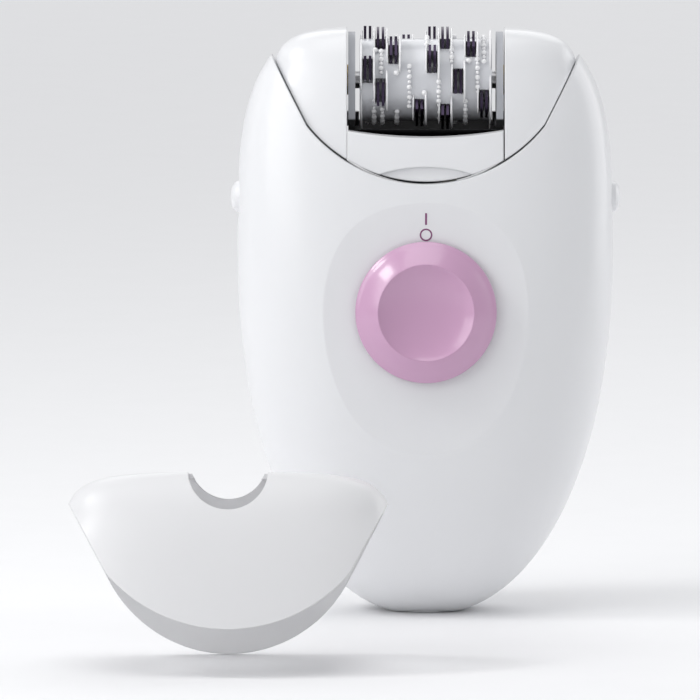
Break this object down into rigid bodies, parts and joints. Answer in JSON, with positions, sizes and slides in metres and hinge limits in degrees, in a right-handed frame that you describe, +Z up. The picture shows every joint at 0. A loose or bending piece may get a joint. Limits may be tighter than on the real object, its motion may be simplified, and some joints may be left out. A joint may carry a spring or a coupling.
{
  "type": "epilator",
  "caption": "Corded epilator with an egg-shaped handle, a slide switch, a lift-off tweezer head with a turning barrel, side release buttons and a loose head cap.",
  "frame": {"origin": "centre of the power inlet's mouth, in the plane of the handle's foot", "axes": "+Z up from the inlet towards the tweezer barrel, -Y towards the front with the slide switch, +X to the right seen from the front"},
  "size_m": [0.0929, 0.1141, 0.1001],
  "materials": {
    "white_gloss": "satin gloss",
    "cap_white": "satin, slightly translucent",
    "mauve": "satin",
    "drum_white": "gloss",
    "tweezer_steel": "dark polished",
    "steel": "ground",
    "zinc_can": "zinc plated",
    "ferrite": "matt",
    "black_plastic": "moulded",
    "grey_plastic": "moulded",
    "gear_plastic": "natural acetal",
    "brass": "plain",
    "copper": "turned",
    "board_green": "lacquered",
    "lead_insulation": "plain"
  },
  "bodies": {
    "handle": {"front_shell": "white_gloss", "rear_shell": "white_gloss", "housing_screws": "steel", "power_inlet": "white_gloss", "inlet_contacts": "brass", "circuit_board": "board_green", "board_parts": "black_plastic", "switch_block": "black_plastic", "inlet_leads": "lead_insulation", "motor_leads": "lead_insulation", "motor_can": "zinc_can", "motor_end_cap": "black_plastic", "motor_terminals": "brass", "motor_magnets": "ferrite", "gear_frame": "grey_plastic", "motor_screws": "steel", "idler_pin": "steel"},
    "motor_rotor": {"motor_shaft": "steel", "motor_armature": "steel", "motor_commutator": "copper", "motor_pinion": "brass"},
    "crown": {"crown_gear": "gear_plastic", "drive_gear": "gear_plastic", "gear_axle": "steel"},
    "idler": {"idler_gear": "gear_plastic"},
    "switch": {"switch_button": "mauve", "switch_slider": "grey_plastic", "switch_lever": "grey_plastic"},
    "release_left": {"release_button_left": "white_gloss"},
    "release_right": {"release_button_right": "white_gloss"},
    "head": {"head_shoulder_left": "white_gloss", "head_shoulder_right": "white_gloss", "head_front_panel": "white_gloss", "head_rear_panel": "white_gloss", "head_frame": "grey_plastic", "barrel_bush_left": "brass", "barrel_bush_right": "brass", "roller_axle_left": "steel", "roller_axle_right": "steel", "latch_arm_left": "grey_plastic", "latch_arm_right": "grey_plastic"},
    "barrel": {"barrel_drum": "drum_white", "barrel_shaft": "steel", "barrel_gear": "gear_plastic", "fixed_tweezers": "tweezer_steel"},
    "tweezer_slide": {"moving_tweezers": "tweezer_steel"},
    "roller_left": {"pressure_roller_left": "steel"},
    "roller_right": {"pressure_roller_right": "steel"},
    "cap": {"cap": "cap_white"}
  },
  "joints": [
    {"name": "motor_spin", "type": "hinge", "parent": "handle", "child": "motor_rotor", "pos_m": [0, 0, 0.04], "axis": [0, 0, 1], "continuous": true},
    {"name": "crown_spin", "type": "hinge", "parent": "handle", "child": "crown", "pos_m": [0, 0, 0.0692], "axis": [1, 0, 0], "continuous": true},
    {"name": "idler_spin", "type": "hinge", "parent": "handle", "child": "idler", "pos_m": [0, 0, 0.08005], "axis": [1, 0, 0], "continuous": true},
    {"name": "head_lift", "type": "slide", "parent": "handle", "child": "head", "axis": [0, 0, 1], "range_m": [0, 0.045]},
    {"name": "barrel_spin", "type": "hinge", "parent": "head", "child": "barrel", "pos_m": [0, 0, 0.0909], "axis": [1, 0, 0], "continuous": true},
    {"name": "tweezer_grip", "type": "slide", "parent": "barrel", "child": "tweezer_slide", "axis": [-1, 0, 0], "range_m": [0, 0.00035], "stiffness_N_per_m": 200},
    {"name": "roller_left_spin", "type": "hinge", "parent": "head", "child": "roller_left", "pos_m": [-0.0127, 0, 0.0843], "axis": [0, 0, 1], "continuous": true},
    {"name": "roller_right_spin", "type": "hinge", "parent": "head", "child": "roller_right", "pos_m": [0.0127, 0, 0.0843], "axis": [0, 0, 1], "continuous": true},
    {"name": "switch_slide", "type": "slide", "parent": "handle", "child": "switch", "axis": [0, 0.068, 0.9977], "range_m": [0, 0.004]},
    {"name": "release_left_press", "type": "slide", "parent": "handle", "child": "release_left", "axis": [1, 0, 0], "range_m": [0, 0.0015], "stiffness_N_per_m": 900},
    {"name": "release_right_press", "type": "slide", "parent": "handle", "child": "release_right", "axis": [-1, 0, 0], "range_m": [0, 0.0015], "stiffness_N_per_m": 900},
    {"name": "cap_lift", "type": "slide", "parent": "handle", "child": "cap", "axis": [0, 0, 1], "range_m": [0, 0.12]}
  ],
  "couplings": [
    {"joint": "crown_spin", "follows": "motor_spin", "ratio": 0.41667},
    {"joint": "idler_spin", "follows": "motor_spin", "ratio": -0.44444},
    {"joint": "barrel_spin", "follows": "motor_spin", "ratio": 0.41667},
    {"joint": "roller_left_spin", "follows": "motor_spin", "ratio": 2.037},
    {"joint": "roller_right_spin", "follows": "motor_spin", "ratio": -2.037}
  ]
}
